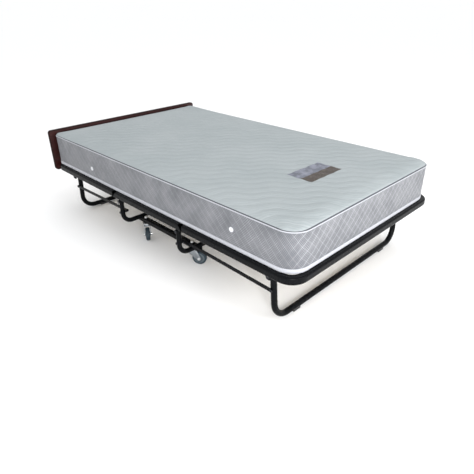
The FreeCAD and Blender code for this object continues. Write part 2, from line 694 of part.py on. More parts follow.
def caster_core():
    """Wheel centre: a hub as wide as the fork allows, a web and a rim."""
    hub_half = FORK_GAP - SIDE_GAP
    rim_half = WHEEL_WIDTH / 2 - 2
    web_half = 4.0
    rim_in = WHEEL_CORE_R - 5
    bore = AXLE_R + RUN
    outline = [
        (bore, hub_half),
        (HUB_R, hub_half),
        (HUB_R, web_half),
        (rim_in, web_half),
        (rim_in, rim_half),
        (WHEEL_CORE_R, rim_half),
    ]
    mirrored = [(radius, -offset) for radius, offset in reversed(outline)]
    return turned(outline + mirrored)


def caster_tyre():
    half = WHEEL_WIDTH / 2
    outline = [(WHEEL_CORE_R, half), (WHEEL_R - TYRE_BEVEL, half), (WHEEL_R, half - TYRE_BEVEL)]
    mirrored = [(radius, -offset) for radius, offset in reversed(outline)]
    return turned(outline + mirrored)


def placed_caster(shape, place):
    """A caster piece turned to its rest heading and moved under its base bar."""
    end, side = place.split("_")
    made = shape.copy()
    made.rotate(V(0, 0, 0), V(0, 0, 1), CASTER_ANGLE[place])
    x = MID_X + (CASTER_X if end == "foot" else -CASTER_X)
    made.translate(V(x, BASE_BAR_Y if side == "left" else -BASE_BAR_Y, 0))
    return made


# ---------------------------------------------------------------- build everything
def build_stand():
    foot_hoop = hoop()
    save("hoop_foot", foot_hoop)
    save("hoop_head", to_side(foot_hoop, "head"))
    save("base_bars", both_sides(base_bar()))
    save("centre_rails", both_sides(centre_rail()))
    save("centre_cross_tubes", centre_cross_tubes())
    slat_half = HALF_SPAN - CENTRE_TUBE_INSET + CENTRE_SLAT_OVERHANG
    save("centre_slats", slat_row(MID_X - slat_half, MID_X + slat_half))
    hinge_bolts = []
    link_pins = []
    for end in ("head", "foot"):
        for side in (-1, 1):
            hinge_bolts.append(to_side(hinge_bolt(side), end))
            link_pins.append(to_side(link_pin(side), end))
    save("hinge_bolts", hinge_bolts)
    save("link_pins", link_pins)
    save("caster_stems", [placed_caster(caster_stem(), place) for place in CASTER_ANGLE])
    edge = outward(RAIL_START) - SIDE_GAP
    bottom = DECK_HEIGHT + SIDE_GAP
    save("mattress_centre", mattress_block(2 * MID_X - edge, edge, bottom, "foot"))


def build_deck(end, corner):
    tube = end_tube(corner)
    if end == "head":
        for y in BOARD_SCREW_Y:
            tube = tube.cut(board_screw(y, True))
    save(end + "_end_tube", to_side(tube, end))
    save(end + "_rails", [to_side(rail, end) for rail in both_sides(deck_rail(corner))])
    save(end + "_cross_tubes", [to_side(tube, end) for tube in deck_cross_tubes()])
    save(end + "_slats", [to_side(slat, end) for slat in slat_row(*slat_ends())])
    save(end + "_slat_clips", [to_side(clip, end) for clip in slat_clips()])
    save(end + "_hinge_plates", [to_side(plate, end) for plate in both_sides(hinge_plate())])
    save(end + "_leg_plates", [to_side(plate, end) for plate in both_sides(leg_plate())])
    save(end + "_leg_bolts", [to_side(leg_bolt(side), end) for side in (-1, 1)])
    save(end + "_lock_stud", to_side(rail_stud(), end))
    block = mattress_block(outward(RAIL_START), outward(END_OUT), DECK_HEIGHT, end)
    save("mattress_" + end, to_side(block, end))


def build_leg_set(end):
    save(end + "_leg", to_side(leg(), end))
    save(end + "_leg_pads", [to_side(pad, end) for pad in both_sides(foot_pad())])
    save(end + "_links", [to_side(bar, end) for bar in both_sides(link())])
    save(end + "_link_rivets", [to_side(rivet, end) for rivet in both_sides(link_rivet())])


def build_board():
    band = board_slab(0.0)
    core = board_slab(BOARD_BAND)
    band = band.cut(core)
    for y in BOARD_SCREW_Y:
        core = core.cut(board_screw(y, True))
    save("board", to_side(core, "head"))
    save("board_band", to_side(band, "head"))
    save("board_screws", [to_side(board_screw(y, False), "head") for y in BOARD_SCREW_Y])


def build_casters():
    for place in CASTER_ANGLE:
        save("caster_" + place + "_fork", placed_caster(caster_fork(), place))
        save("caster_" + place + "_axle", placed_caster(caster_axle(), place))
        save("caster_" + place + "_core", placed_caster(caster_core(), place))
        save("caster_" + place + "_tyre", placed_caster(caster_tyre(), place))


os.makedirs("parts", exist_ok=True)
build_stand()
build_deck("head", HEAD_CORNER)
build_deck("foot", FOOT_CORNER)
build_leg_set("head")
build_leg_set("foot")
build_board()
save("lock_bar", to_side(lock_bar(), "head"))
build_casters()
print("link pivot z", round(LINK_FIXED_Z, 3), "leg length", round(LEG_LENGTH, 3))
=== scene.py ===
import json
import math

import bmesh
import bpy
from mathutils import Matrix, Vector


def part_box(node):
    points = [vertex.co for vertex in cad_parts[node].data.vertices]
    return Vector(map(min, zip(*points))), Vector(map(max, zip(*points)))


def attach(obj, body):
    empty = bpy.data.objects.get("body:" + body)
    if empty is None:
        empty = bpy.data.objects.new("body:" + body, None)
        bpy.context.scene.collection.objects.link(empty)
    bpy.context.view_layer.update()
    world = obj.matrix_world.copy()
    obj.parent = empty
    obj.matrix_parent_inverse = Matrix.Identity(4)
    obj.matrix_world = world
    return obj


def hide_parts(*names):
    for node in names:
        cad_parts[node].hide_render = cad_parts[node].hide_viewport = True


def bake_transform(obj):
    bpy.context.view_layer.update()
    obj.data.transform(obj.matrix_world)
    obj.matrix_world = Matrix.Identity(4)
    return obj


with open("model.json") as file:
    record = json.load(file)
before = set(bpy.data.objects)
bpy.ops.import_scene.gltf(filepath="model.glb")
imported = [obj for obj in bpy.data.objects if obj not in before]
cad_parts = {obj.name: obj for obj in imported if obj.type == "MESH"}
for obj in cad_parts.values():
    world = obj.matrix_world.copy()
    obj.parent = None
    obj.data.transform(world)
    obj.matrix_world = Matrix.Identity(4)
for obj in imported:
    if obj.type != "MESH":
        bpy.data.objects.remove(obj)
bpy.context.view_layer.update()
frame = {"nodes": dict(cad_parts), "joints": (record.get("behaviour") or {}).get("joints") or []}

# ------------------------------------------------------------------ studio
# A wide pale floor under a bright even surround, a large overhead soft box and a stronger one
# beyond the foot end. The camera stands off the near foot corner, a hair out of level.
bpy.context.scene.view_settings.view_transform = "Standard"
bpy.ops.object.select_all(action="DESELECT")
bpy.ops.object.camera_add(
    location=(1.7945, -1.660, 1.229),
    rotation=(math.radians(61.52), math.radians(0.56), math.radians(45.215)),
)
bpy.context.scene.camera = bpy.context.object
bpy.context.object.data.sensor_width = 36
bpy.context.object.data.lens = 33.81
bpy.context.object.data.clip_end = 1000

surround = bpy.data.worlds.new("surround")
bpy.context.scene.world = surround
surround.use_nodes = True
surround.node_tree.nodes["Background"].inputs["Color"].default_value = (0.985, 0.992, 1.0, 1)
surround.node_tree.nodes["Background"].inputs["Strength"].default_value = 1.05

for lamp_name, place, aim, size, power in (
    ("overhead_box", (0.3, 0.6, 3.4), (0, 0, 0.3), 3.2, 24),
    ("foot_box", (3.9, 0.3, 1.4), (0.3, 0, 0.35), 2.0, 66),
    ("corner_box", (2.35, -1.75, 0.95), (0.8, -0.45, 0.35), 0.6, 38),
):
    bpy.ops.object.light_add(type="AREA", location=place)
    lamp = bpy.context.object
    lamp.name = lamp_name
    lamp.data.size = size
    lamp.data.energy = power
    lamp.rotation_euler = (Vector(aim) - Vector(place)).to_track_quat("-Z", "Y").to_euler()

bpy.ops.mesh.primitive_plane_add(size=900, location=(0, 0, -0.0006))
floor = bpy.context.object
floor.name = "floor"
floor_paint = bpy.data.materials.new("floor_paint")
floor_paint.use_nodes = True
floor_shader = floor_paint.node_tree.nodes["Principled BSDF"]
floor_shader.inputs["Base Color"].default_value = (0.96, 0.96, 0.96, 1)
floor_shader.inputs["Roughness"].default_value = 0.85
floor.data.materials.append(floor_paint)


# ------------------------------------------------------------------ steel tube frame
# Bent and welded steel tube, square for the decks and round for the stand and legs. It is
# sprayed with black powder and baked: glossy, with a fine orange peel and rubbed high spots.
def add_node(finish, kind, feeds, **settings):
    """A node of one kind in a finish; feeds gives its inputs by name or number."""
    made = finish.node_tree.nodes.new(kind)
    for key, value in settings.items():
        setattr(made, key, value)
    for key, value in feeds.items():
        if isinstance(value, bpy.types.NodeSocket):
            finish.node_tree.links.new(value, made.inputs[key])
        else:
            made.inputs[key].default_value = value
    return made


def new_finish(name, colour, roughness, **more):
    """A finish with its constants on the shader, and the object's own coordinates."""
    finish = bpy.data.materials.new(name)
    finish.use_nodes = True
    shader = finish.node_tree.nodes["Principled BSDF"]
    shader.inputs["Base Color"].default_value = (*colour, 1)
    shader.inputs["Roughness"].default_value = roughness
    for key, value in more.items():
        shader.inputs[key.replace("_", " ")].default_value = value
    place = add_node(finish, "ShaderNodeTexCoord", {}).outputs["Object"]
    return finish, shader, place


def tint(finish, shader, amount, dark, light, low=0.3, high=0.7):
    """Colours the shader from dark to light as amount goes from low to high."""
    share = add_node(finish, "ShaderNodeMapRange", {0: amount, 1: low, 2: high})
    blend = add_node(finish, "ShaderNodeMix", {0: share.outputs[0]}, data_type="RGBA")
    blend.inputs[6].default_value = (*dark, 1)
    blend.inputs[7].default_value = (*light, 1)
    finish.node_tree.links.new(blend.outputs[2], shader.inputs["Base Color"])
    return blend.outputs[2]


def vary(finish, shader, amount, low, high):
    """Roughness between low and high as amount goes from 0.3 to 0.7."""
    share = add_node(finish, "ShaderNodeMapRange", {0: amount, 1: 0.3, 2: 0.7, 3: low, 4: high})
    finish.node_tree.links.new(share.outputs[0], shader.inputs["Roughness"])


def relief(finish, shader, height, depth, under=None):
    """Bump of this depth in metres, over another bump if one is given."""
    feeds = {"Height": height, "Distance": depth, "Strength": 1.0}
    if under is not None:
        feeds["Normal"] = under
    made = add_node(finish, "ShaderNodeBump", feeds).outputs["Normal"]
    finish.node_tree.links.new(made, shader.inputs["Normal"])
    return made


def noise(finish, place, scale, detail=3.0, rough=0.5):
    return add_node(
        finish, "ShaderNodeTexNoise",
        {"Vector": place, "Scale": scale, "Detail": detail, "Roughness": rough},
    ).outputs[0]


def powder_coat():
    finish, shader, place = new_finish("black_powder_coat", (0.003, 0.0034, 0.004), 0.24)
    shader.inputs["Specular IOR Level"].default_value = 0.07
    cloud = noise(finish, place, 9.0, 4.0)
    tint(finish, shader, cloud, (0.0022, 0.0026, 0.0031), (0.0045, 0.005, 0.006))
    vary(finish, shader, noise(finish, place, 38.0, 5.0, 0.6), 0.2, 0.36)
    relief(finish, shader, noise(finish, place, 420.0, 2.0), 0.00012)
    return finish


def paint_nodes(finish, *names):
    """Gives CAD pieces this finish in place of their own."""
    for name in names:
        slots = frame["nodes"][name].data.materials
        slots.clear()
        slots.append(finish)


black_paint = powder_coat()
ENDS = ("head", "foot")
paint_nodes(
    black_paint, "hoop_head", "hoop_foot", "base_bars", "centre_rails", "centre_cross_tubes",
    "lock_bar", *[end + part for end in ENDS for part in (
        "_end_tube", "_rails", "_cross_tubes", "_hinge_plates", "_leg_plates", "_leg",
        "_links", "_lock_stud")],
)


# ------------------------------------------------------------------ bolts, pins and rivets
# Plated steel with a soft spangle: black on the frame's own bolts and rivets, bright on the
# board's screws, the caster stems and the wheel axles, duller on the pressed forks.
def zinc(name, tone, rough):
    finish, shader, place = new_finish(name, tone, rough, Metallic=1.0)
    spangle = add_node(
        finish, "ShaderNodeTexVoronoi", {"Vector": place, "Scale": 260.0}
    ).outputs["Distance"]
    tint(finish, shader, spangle, tuple(c * 0.78 for c in tone), tone, 0.0, 0.6)
    vary(finish, shader, noise(finish, place, 90.0, 4.0), rough - 0.08, rough + 0.1)
    relief(finish, shader, noise(finish, place, 700.0, 2.0), 0.00006)
    return finish


bright_zinc = zinc("bright_zinc", (0.72, 0.73, 0.74), 0.3)
dull_zinc = zinc("dull_zinc", (0.30, 0.32, 0.34), 0.36)
black_zinc = zinc("black_zinc", (0.035, 0.037, 0.042), 0.38)
paint_nodes(bright_zinc, "board_screws", "caster_stems")
paint_nodes(
    black_zinc, "hinge_bolts", "link_pins",
    *[end + part for end in ENDS for part in ("_leg_bolts", "_link_rivets")],
)


# ------------------------------------------------------------------ slats
# Pale birch plywood slats, planed and lacquered, with eased edges, pressed into black shoes.
def only(piece):
    """Deselects everything but this piece and makes it the active one."""
    if bpy.context.object is not None and bpy.context.object.mode != "OBJECT":
        bpy.ops.object.mode_set(mode="OBJECT")
    bpy.ops.object.select_all(action="DESELECT")
    piece.select_set(True)
    bpy.context.view_layer.objects.active = piece


def eased_copy(node, name, ease, segments=2):
    """Copy of a CAD piece with merged corners and its sharp edges eased."""
    source = frame["nodes"][node]
    piece = bpy.data.objects.new(name, source.data.copy())
    bpy.context.scene.collection.objects.link(piece)
    only(piece)
    bpy.ops.object.mode_set(mode="EDIT")
    bpy.ops.mesh.select_all(action="SELECT")
    bpy.ops.mesh.customdata_custom_splitnormals_clear()
    bpy.ops.mesh.remove_doubles(threshold=0.00002)
    bpy.ops.mesh.dissolve_limited(angle_limit=math.radians(1.0))
    bpy.ops.mesh.normals_make_consistent(inside=False)
    bpy.ops.object.mode_set(mode="OBJECT")
    ease_edges = piece.modifiers.new("ease", "BEVEL")
    ease_edges.width = ease
    ease_edges.segments = segments
    ease_edges.limit_method = "ANGLE"
    ease_edges.angle_limit = math.radians(35)
    bpy.ops.object.modifier_apply(modifier="ease")
    bpy.ops.object.shade_smooth_by_angle(angle=math.radians(40))
    return piece


def dress(piece, finish, slot, body, *stood_for):
    """Finish, body and the CAD pieces that this piece stands for; slot is not used."""
    piece.data.materials.clear()
    piece.data.materials.append(finish)
    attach(piece, body)
    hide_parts(*stood_for)


def birch():
    finish, shader, place = new_finish("birch_slat", (0.72, 0.64, 0.52), 0.5)
    along = add_node(finish, "ShaderNodeMapping", {0: place})
    along.inputs["Scale"].default_value = (3.0, 55.0, 55.0)
    grain = noise(finish, along.outputs[0], 4.0, 6.0, 0.6)
    tint(finish, shader, grain, (0.58, 0.49, 0.37), (0.80, 0.74, 0.63))
    vary(finish, shader, noise(finish, place, 30.0), 0.4, 0.58)
    relief(finish, shader, grain, 0.0002)
    return finish


def shoe_plastic():
    finish, shader, place = new_finish("shoe_plastic", (0.012, 0.012, 0.013), 0.5)
    tint(finish, shader, noise(finish, place, 25.0), (0.009, 0.009, 0.010), (0.02, 0.02, 0.021))
    relief(finish, shader, noise(finish, place, 900.0, 1.0), 0.00015)
    return finish


birch_slat = birch()
black_plastic = shoe_plastic()
for node, body in (
    ("centre_slats", "stand"), ("head_slats", "head_deck"), ("foot_slats", "foot_deck")
):
    dress(eased_copy(node, node + "_eased", 0.0016), birch_slat, "slat_wood", body, node)
paint_nodes(
    black_plastic, "head_slat_clips", "foot_slat_clips", "head_leg_pads", "foot_leg_pads"
)

# ------------------------------------------------------------------ end board
# Wood-grain laminate on particle board: warm brown outside, dark mahogany inside, with a
# thick dark plastic edge band, fixed to the end tube by three bright screws.
def board_laminate():
    finish, shader, place = new_finish("board_laminate", (0.03, 0.009, 0.008), 0.3)
    shader.inputs["Specular IOR Level"].default_value = 0.35
    run = add_node(finish, "ShaderNodeMapping", {0: place})
    run.inputs["Scale"].default_value = (8.0, 2.2, 34.0)
    grain = noise(finish, run.outputs[0], 3.0, 8.0, 0.62)
    inside = tint(finish, shader, grain, (0.018, 0.0040, 0.0038), (0.040, 0.0085, 0.0075))
    outside = tint(finish, shader, grain, (0.085, 0.030, 0.016), (0.21, 0.088, 0.048))
    low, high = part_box("board")
    split = add_node(finish, "ShaderNodeSeparateXYZ", {0: place}).outputs[0]
    is_inside = add_node(
        finish, "ShaderNodeMath", {0: split, 1: (low.x + high.x) / 2}, operation="GREATER_THAN"
    )
    both = add_node(
        finish, "ShaderNodeMix", {0: is_inside.outputs[0], 6: outside, 7: inside}, data_type="RGBA"
    )
    finish.node_tree.links.new(both.outputs[2], shader.inputs["Base Color"])
    vary(finish, shader, noise(finish, place, 22.0), 0.26, 0.4)
    relief(finish, shader, grain, 0.0001)
    return finish


def band_plastic():
    finish, shader, place = new_finish("band_plastic", (0.022, 0.006, 0.005), 0.35)
    shader.inputs["Specular IOR Level"].default_value = 0.05
    cloud = noise(finish, place, 14.0)
    tint(finish, shader, cloud, (0.009, 0.0020, 0.0015), (0.020, 0.0042, 0.0032))
    relief(finish, shader, noise(finish, place, 500.0, 2.0), 0.0001)
    return finish


dress(eased_copy("board_band", "board_edge_band", 0.0018, 3), band_plastic(), "band_plastic",
      "head_deck", "board_band")
paint_nodes(board_laminate(), "board")


# ------------------------------------------------------------------ casters
# Pressed zinc-plated forks, grey plastic wheel centres and blue-grey rubber tyres.
def tyre_rubber():
    finish, shader, place = new_finish("tyre_rubber", (0.020, 0.034, 0.044), 0.5)
    shader.inputs["Specular IOR Level"].default_value = 0.25
    scuffs = noise(finish, place, 60.0, 5.0)
    tint(finish, shader, scuffs, (0.012, 0.022, 0.030), (0.030, 0.048, 0.060))
    vary(finish, shader, noise(finish, place, 120.0), 0.45, 0.7)
    relief(finish, shader, noise(finish, place, 800.0), 0.0002)
    return finish


def wheel_plastic():
    finish, shader, place = new_finish("wheel_plastic", (0.13, 0.155, 0.17), 0.4)
    tint(finish, shader, noise(finish, place, 40.0), (0.055, 0.075, 0.088), (0.10, 0.125, 0.14))
    relief(finish, shader, noise(finish, place, 600.0), 0.0001)
    return finish


rubber = tyre_rubber()
core_plastic = wheel_plastic()
for caster in ("head_right", "foot_right", "head_left", "foot_left"):
    wheel = "caster_" + caster
    dress(eased_copy(wheel + "_tyre", wheel + "_round_tyre", 0.005, 3), rubber, "tyre_rubber",
          wheel + "_wheel", wheel + "_tyre")
    dress(eased_copy(wheel + "_fork", wheel + "_pressed_fork", 0.0005), dull_zinc, "zinc_steel",
          wheel + "_swivel", wheel + "_fork")
    paint_nodes(core_plastic, wheel + "_core")
    paint_nodes(bright_zinc, wheel + "_axle")


# ------------------------------------------------------------------ mattress cover
# A sprung mattress: quilted damask panels above and below, and a satin border between two
# sewn as one and filled, then divided at the middle of the stand.
head_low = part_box("mattress_head")[0]
foot_low, foot_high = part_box("mattress_foot")
X_HEAD, X_FOOT = head_low.x, foot_high.x
HALF_WIDTH = foot_high.y
Z_LOW, Z_TOP = foot_low.z, foot_high.z
MIDDLE_X = (frame["joints"][0]["pos_m"][0] + frame["joints"][3]["pos_m"][0]) / 2
HEAD_CORNER, FOOT_CORNER = 0.035, 0.085
SWELL = 0.006                  # how far the filling pushes the cover out
TOP_ROLL = 0.015               # the top panel turns down this far to its seam
LOW_ROLL = 0.006
TAPE_HEIGHT = 0.015
CELL = 0.024


def pick(kind, test):
    """In edit mode, selects the vertices, edges or faces that pass the test and no others."""
    bpy.ops.object.mode_set(mode="EDIT")
    bpy.ops.mesh.select_mode(type=kind)
    bpy.ops.mesh.select_all(action="DESELECT")
    work = bmesh.from_edit_mesh(bpy.context.object.data)
    for part in {"VERT": work.verts, "EDGE": work.edges, "FACE": work.faces}[kind]:
        if test(part):
            part.select_set(True)
    work.select_flush_mode()
    bmesh.update_edit_mesh(bpy.context.object.data)


def upright_at(x, reach):
    """Test for the two upright edges near this X."""
    def test(edge):
        a, b = (v.co for v in edge.verts)
        return abs(a.x - x) < reach and abs(b.x - x) < reach and abs(a.z - b.z) > 0.1
    return test


def rim_at(z):
    """Test for the edges that lie all at this height."""
    return lambda edge: all(abs(v.co.z - z) < 0.0002 for v in edge.verts)


def slice_mesh(place, normal, **more):
    """Cuts the whole edited mesh by a plane."""
    bpy.ops.mesh.select_all(action="SELECT")
    bpy.ops.mesh.bisect(plane_co=place, plane_no=normal, **more)


low_z, top_z = Z_LOW + 0.0004, Z_TOP - SWELL
side_x0, side_x1 = X_HEAD + 0.001, X_FOOT - SWELL / 2
side_y = HALF_WIDTH - SWELL / 2
bpy.ops.object.select_all(action="DESELECT")
bpy.ops.mesh.primitive_cube_add(
    size=1, location=((side_x0 + side_x1) / 2, 0, (low_z + top_z) / 2),
    scale=(side_x1 - side_x0, 2 * side_y, top_z - low_z),
)
cover = bpy.context.object
cover.name = "mattress_cover"
bpy.ops.object.transform_apply(location=True, rotation=True, scale=True)
pick("EDGE", upright_at(side_x1, 0.001))
bpy.ops.mesh.bevel(offset=FOOT_CORNER, segments=8)
pick("EDGE", upright_at(side_x0, 0.001))
bpy.ops.mesh.bevel(offset=HEAD_CORNER, segments=4)
pick("EDGE", rim_at(top_z))
bpy.ops.mesh.bevel(offset=TOP_ROLL, segments=3)
pick("EDGE", rim_at(low_z))
bpy.ops.mesh.bevel(offset=LOW_ROLL, segments=2)
span_x = side_x1 - side_x0 - 2 * TOP_ROLL
for step in range(1, round(span_x / CELL)):
    slice_mesh((side_x0 + TOP_ROLL + step * span_x / round(span_x / CELL), 0, 0), (1, 0, 0))
span_y = 2 * (side_y - TOP_ROLL)
for step in range(1, round(span_y / CELL)):
    slice_mesh((0, TOP_ROLL - side_y + step * span_y / round(span_y / CELL), 0), (0, 1, 0))
seam_z = top_z - TOP_ROLL
tape_z = low_z + LOW_ROLL + TAPE_HEIGHT
BORDER_ROWS = 8
for row in range(BORDER_ROWS):
    slice_mesh((0, 0, tape_z + row * (seam_z - tape_z) / BORDER_ROWS), (0, 0, 1))
bpy.ops.mesh.select_all(action="SELECT")
bpy.ops.mesh.remove_doubles(threshold=0.0004)
bpy.ops.object.mode_set(mode="OBJECT")


def at_seam(co):
    return abs(co.z - seam_z) < 0.0005


# The seams, the tape, the underside on the slats and the end against the board stay put.
held = cover.vertex_groups.new(name="held")
held.add(
    [v.index for v in cover.data.vertices
     if at_seam(v.co) or v.co.z < tape_z + 0.001 or v.co.x < side_x0 + 0.004],
    1.0, "REPLACE",
)
start = [v.co.copy() for v in cover.data.vertices]
only(cover)
filling = cover.modifiers.new("filling", "CLOTH")
filling.settings.quality = 5
filling.settings.mass = 0.3
filling.settings.tension_stiffness = 40
filling.settings.compression_stiffness = 40
filling.settings.shear_stiffness = 20
filling.settings.bending_stiffness = 2
filling.settings.use_pressure = True
filling.settings.uniform_pressure_force = 4
filling.settings.vertex_group_mass = "held"
filling.settings.effector_weights.gravity = 0
filling.collision_settings.use_collision = False
for moment in range(1, 21):
    bpy.context.scene.frame_set(moment)
bpy.ops.object.modifier_apply(modifier="filling")
bpy.context.scene.frame_set(1)
for vertex, was in zip(cover.data.vertices, start):
    pushed = vertex.co - was
    if pushed.length > SWELL:
        vertex.co = was + pushed * (SWELL / pushed.length)

# The creased seam keeps its line while the rest is smoothed.
only(cover)
crease = cover.data.attributes.new("crease_edge", "FLOAT", "EDGE")
crease.data.foreach_set("value", [
    1.0 if all(at_seam(cover.data.vertices[i].co) for i in edge.vertices) else 0.0
    for edge in cover.data.edges
])
smooth = cover.modifiers.new("smooth", "SUBSURF")
smooth.levels = smooth.render_levels = 1
bpy.ops.object.modifier_apply(modifier="smooth")

# Quilting on the top: long wavy rows of stitches that run from corner to corner.
ROW_GAP = 0.058
WAVE_DEPTH, WAVE_LENGTH = 0.011, 0.19


def from_row(x, y):
    """Distance from the nearest stitched row, in row gaps, from 0 to 0.5."""
    across = (x - y) / math.sqrt(2)
    along = (x + y) / math.sqrt(2)
    place = (across + WAVE_DEPTH * math.sin(2 * math.pi * along / WAVE_LENGTH)) / ROW_GAP
    return abs(place - round(place))


for vertex in cover.data.vertices:
    if vertex.co.z > top_z - 0.002:
        inset = min(
            vertex.co.x - side_x0, side_x1 - vertex.co.x, side_y - abs(vertex.co.y)
        )
        fade = min(1.0, max(0.0, (inset - TOP_ROLL) / 0.03))
        puff = math.sin(math.pi * from_row(vertex.co.x, vertex.co.y)) ** 0.6
        vertex.co.z += fade * 0.0030 * (puff - 0.75)
    elif tape_z + 0.01 < vertex.co.z < seam_z - 0.008:
        # The border is caught down lightly in diamonds.
        run = vertex.co.x + abs(vertex.co.y)
        one = abs(math.sin(math.pi * (run + vertex.co.z) / 0.05))
        two = abs(math.sin(math.pi * (run - vertex.co.z) / 0.05))
        out = Vector((vertex.normal.x, vertex.normal.y, 0))
        vertex.co += out * 0.0009 * (min(one, two) - 0.4)


# The taped seams: a round piping in the top seam and a flat ribbed tape round the bottom.
def cut_out(source, name, kind, test):
    """New object from the chosen edges or faces of a copy of source."""
    copy = bpy.data.objects.new(name, source.data.copy())
    bpy.context.scene.collection.objects.link(copy)
    only(copy)
    pick(kind, lambda part: not test(part))
    bpy.ops.mesh.delete(type="FACE" if kind == "FACE" else "EDGE")
    bpy.ops.object.mode_set(mode="OBJECT")
    return copy


PIPING_R = 0.0022
piping = cut_out(cover, "top_piping", "EDGE", lambda edge: all(
    abs(v.co.z - seam_z) < 0.0003 for v in edge.verts))
bpy.ops.object.mode_set(mode="EDIT")
bpy.ops.mesh.select_mode(type="VERT")
bpy.ops.mesh.select_all(action="SELECT")
bpy.ops.mesh.remove_doubles(threshold=0.004)
bpy.ops.object.mode_set(mode="OBJECT")
if "crease_edge" in piping.data.attributes:
    piping.data.attributes.remove(piping.data.attributes["crease_edge"])
bpy.ops.object.convert(target="CURVE")
piping = bpy.context.object
piping.data.bevel_depth = PIPING_R
piping.data.bevel_resolution = 3
bpy.ops.object.convert(target="MESH")
piping = bpy.context.object

tape = cut_out(cover, "bottom_tape", "FACE", lambda face: (
    face.calc_center_median().z < tape_z and abs(face.normal.z) < 0.8
    and face.calc_center_median().z > low_z + 0.0008))
thicken = tape.modifiers.new("thicken", "SOLIDIFY")
thicken.thickness = 0.0016
thicken.offset = 1.0
bpy.ops.object.modifier_apply(modifier="thicken")


# Damask for the panels: pale grey-green, with quilted rows, a jacquard figure and a fine weave.
def cloth_place(finish):
    """The place on the flat cover, which stays with the cloth as it bends."""
    stored = add_node(finish, "ShaderNodeAttribute", {}, attribute_name="cloth_place")
    return stored.outputs["Vector"]


def border_run(finish):
    """How far along the border a place is, from the head along the near side."""
    stored = add_node(finish, "ShaderNodeAttribute", {}, attribute_name="border_run")
    return stored.outputs["Fac"]


def maths(finish, operation, *values):
    feeds = dict(enumerate(values))
    return add_node(finish, "ShaderNodeMath", feeds, operation=operation).outputs[0]


def stripe(finish, coordinate, gap):
    """0 on each line and 1 half way between lines that are gap apart."""
    turned = maths(finish, "MULTIPLY", coordinate, math.pi / gap)
    return maths(finish, "ABSOLUTE", maths(finish, "SINE", turned))


def damask():
    finish, shader = new_finish("damask", (0.29, 0.32, 0.33), 0.8)[:2]
    shader.inputs["Specular IOR Level"].default_value = 0.15
    place = cloth_place(finish)
    x, y, z = add_node(finish, "ShaderNodeSeparateXYZ", {0: place}).outputs
    across = maths(finish, "MULTIPLY", maths(finish, "SUBTRACT", x, y), math.sqrt(0.5))
    along = maths(finish, "MULTIPLY", maths(finish, "ADD", x, y), math.sqrt(0.5))
    sway = maths(finish, "SINE", maths(finish, "MULTIPLY", along, 2 * math.pi / WAVE_LENGTH))
    rows = maths(finish, "ADD", across, maths(finish, "MULTIPLY", sway, WAVE_DEPTH))
    patches = noise(finish, place, 8.0, 4.0)
    stitched = stripe(finish, rows, ROW_GAP)
    figure = stripe(finish, maths(
        finish, "ADD", rows, maths(finish, "MULTIPLY", noise(finish, place, 14.0, 2.0), 0.05)
    ), ROW_GAP / 4)
    cloud = noise(finish, place, 5.0, 4.0)
    mixed = maths(finish, "ADD", maths(finish, "MULTIPLY", figure, 0.34),
                  maths(finish, "MULTIPLY", cloud, 0.66))
    base = tint(finish, shader, mixed, (0.290, 0.325, 0.334), (0.350, 0.380, 0.390), 0.25, 0.75)
    line = maths(finish, "LESS_THAN", stitched, 0.10)
    shows = maths(finish, "MULTIPLY", line, maths(finish, "MULTIPLY", patches, 0.45))
    threads = add_node(finish, "ShaderNodeMix", {0: shows, 6: base, 7: (0.47, 0.49, 0.50, 1)},
                       data_type="RGBA")
    # The panel's turned-down edge is painted dark along the seam: painted shade standing in for the
    # shadow in the seam's groove.
    painted_seam_shade = maths(finish, "LESS_THAN", z, seam_z + 0.0042)
    with_seam_shade = add_node(finish, "ShaderNodeMix", {0: painted_seam_shade, 6: threads.outputs[2],
                                               7: (0.085, 0.09, 0.10, 1)}, data_type="RGBA")
    finish.node_tree.links.new(with_seam_shade.outputs[2], shader.inputs["Base Color"])
    vary(finish, shader, figure, 0.6, 0.8)
    weave = maths(finish, "ADD", stripe(finish, x, 0.0016), stripe(finish, y, 0.0016))
    body = relief(finish, shader, stitched, 0.0009)
    figured = relief(finish, shader, figure, 0.0005, body)
    relief(finish, shader, weave, 0.00018, figured)
    return finish


# Border satin: silver-grey, with a lattice of pale diagonal threads that lean both ways, and a
# painted sheen that brightens one slant on the long sides and the other across the foot end.
BROAD_GAP, FINE_GAP = 0.046, 0.0115
CORNER_INSET = 0.008           # the run turns this far inside the foot end
FOOT_MIDDLE_RUN = side_x1 - CORNER_INSET
CORNER_RUN = HALF_WIDTH - 0.01


def thread_line(finish, slant, gap, sharpness):
    """1 on each line and falling to 0 between lines, faster the sharper it is."""
    return maths(finish, "POWER", maths(finish, "SUBTRACT", 1.0, stripe(finish, slant, gap)),
                 sharpness)


